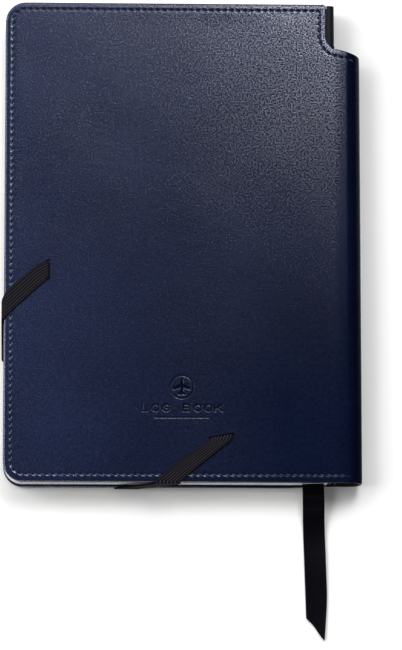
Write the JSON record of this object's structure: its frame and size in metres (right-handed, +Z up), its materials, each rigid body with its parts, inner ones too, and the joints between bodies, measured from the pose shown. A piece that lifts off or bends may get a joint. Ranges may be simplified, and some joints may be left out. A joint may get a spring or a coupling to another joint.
{
  "type": "pilot logbook",
  "caption": "Leather-covered logbook with a pen sleeve along the spine, sewn pages, an elastic corner strap and a ribbon bookmark.",
  "frame": {"origin": "centre of the bottom of the closed book's box, on the face that it rests on (the front cover's leather)", "axes": "+X from the fore edge to the spine, +Y from tail to head, +Z up out of the back cover"},
  "size_m": [0.141, 0.2508, 0.0159],
  "materials": {
    "cover_leather": "semi-matt, fine pebble grain, navy",
    "binder_board": "raw board",
    "page_paper": "uncoated, off-white",
    "thread": "waxed navy thread",
    "binding_cloth": "woven cloth",
    "spine_leather": "smooth, near-black",
    "sleeve_lining": "thin woven lining",
    "elastic": "ribbed woven elastic, near-black",
    "satin_ribbon": "satin weave, near-black navy"
  },
  "bodies": {
    "text_block": {"pen_sleeve_leather": "cover_leather", "pen_sleeve_lining": "sleeve_lining", "pen_sleeve_stitching": "thread", "spine_liner": "spine_leather", "spine_mull": "binding_cloth", "head_band": "binding_cloth", "tail_band": "binding_cloth", "sewing_threads": "thread", "front_flyleaf": "page_paper", "signature_01": "page_paper", "signature_02": "page_paper", "signature_03": "page_paper", "signature_04": "page_paper", "signature_05": "page_paper", "signature_06": "page_paper", "signature_07": "page_paper", "signature_08": "page_paper", "ribbon_inner": "satin_ribbon", "ribbon_tail": "satin_ribbon"},
    "back_cover": {"back_cover_leather": "cover_leather", "back_cover_board": "binder_board", "back_cover_lining": "page_paper", "back_hinge_cloth": "binding_cloth", "back_cover_stitching": "thread", "strap_patch_upper": "binding_cloth", "strap_patch_lower": "binding_cloth"},
    "front_cover": {"front_cover_leather": "cover_leather", "front_cover_board": "binder_board", "front_cover_lining": "page_paper", "front_hinge_cloth": "binding_cloth", "front_cover_stitching": "thread"},
    "back_endleaf": {"back_flyleaf": "page_paper"},
    "last_leaves": {"signature_10": "page_paper"},
    "later_leaves": {"signature_09": "page_paper"},
    "strap": {"closure_strap": "elastic"}
  },
  "joints": [
    {"name": "back_cover_hinge", "type": "hinge", "parent": "text_block", "child": "back_cover", "pos_m": [0.05945, 0, 0.0153], "axis": [0, 1, 0], "range_deg": [0, 179]},
    {"name": "front_cover_hinge", "type": "hinge", "parent": "text_block", "child": "front_cover", "pos_m": [0.05945, 0, -0.0003], "axis": [0, -1, 0], "range_deg": [0, 179]},
    {"name": "back_endleaf_turn", "type": "hinge", "parent": "text_block", "child": "back_endleaf", "pos_m": [0.05945, 0, 0.0153], "axis": [0, 1, 0], "range_deg": [0, 179]},
    {"name": "last_leaves_turn", "type": "hinge", "parent": "text_block", "child": "last_leaves", "pos_m": [0.05945, 0, 0.0153], "axis": [0, 1, 0], "range_deg": [0, 179]},
    {"name": "later_leaves_turn", "type": "hinge", "parent": "text_block", "child": "later_leaves", "pos_m": [0.05945, 0, 0.0153], "axis": [0, 1, 0], "range_deg": [0, 179]},
    {"name": "strap_pull", "type": "slide", "parent": "back_cover", "child": "strap", "axis": [-0.7526, -0.6585, 0], "range_m": [0, 0.042], "stiffness_N_per_m": 40, "deforming": ["closure_strap"]}
  ],
  "couplings": [
    {"joint": "back_endleaf_turn", "follows": "back_cover_hinge", "ratio": 0.985},
    {"joint": "last_leaves_turn", "follows": "back_cover_hinge", "ratio": 0.965},
    {"joint": "later_leaves_turn", "follows": "back_cover_hinge", "ratio": 0.94}
  ]
}
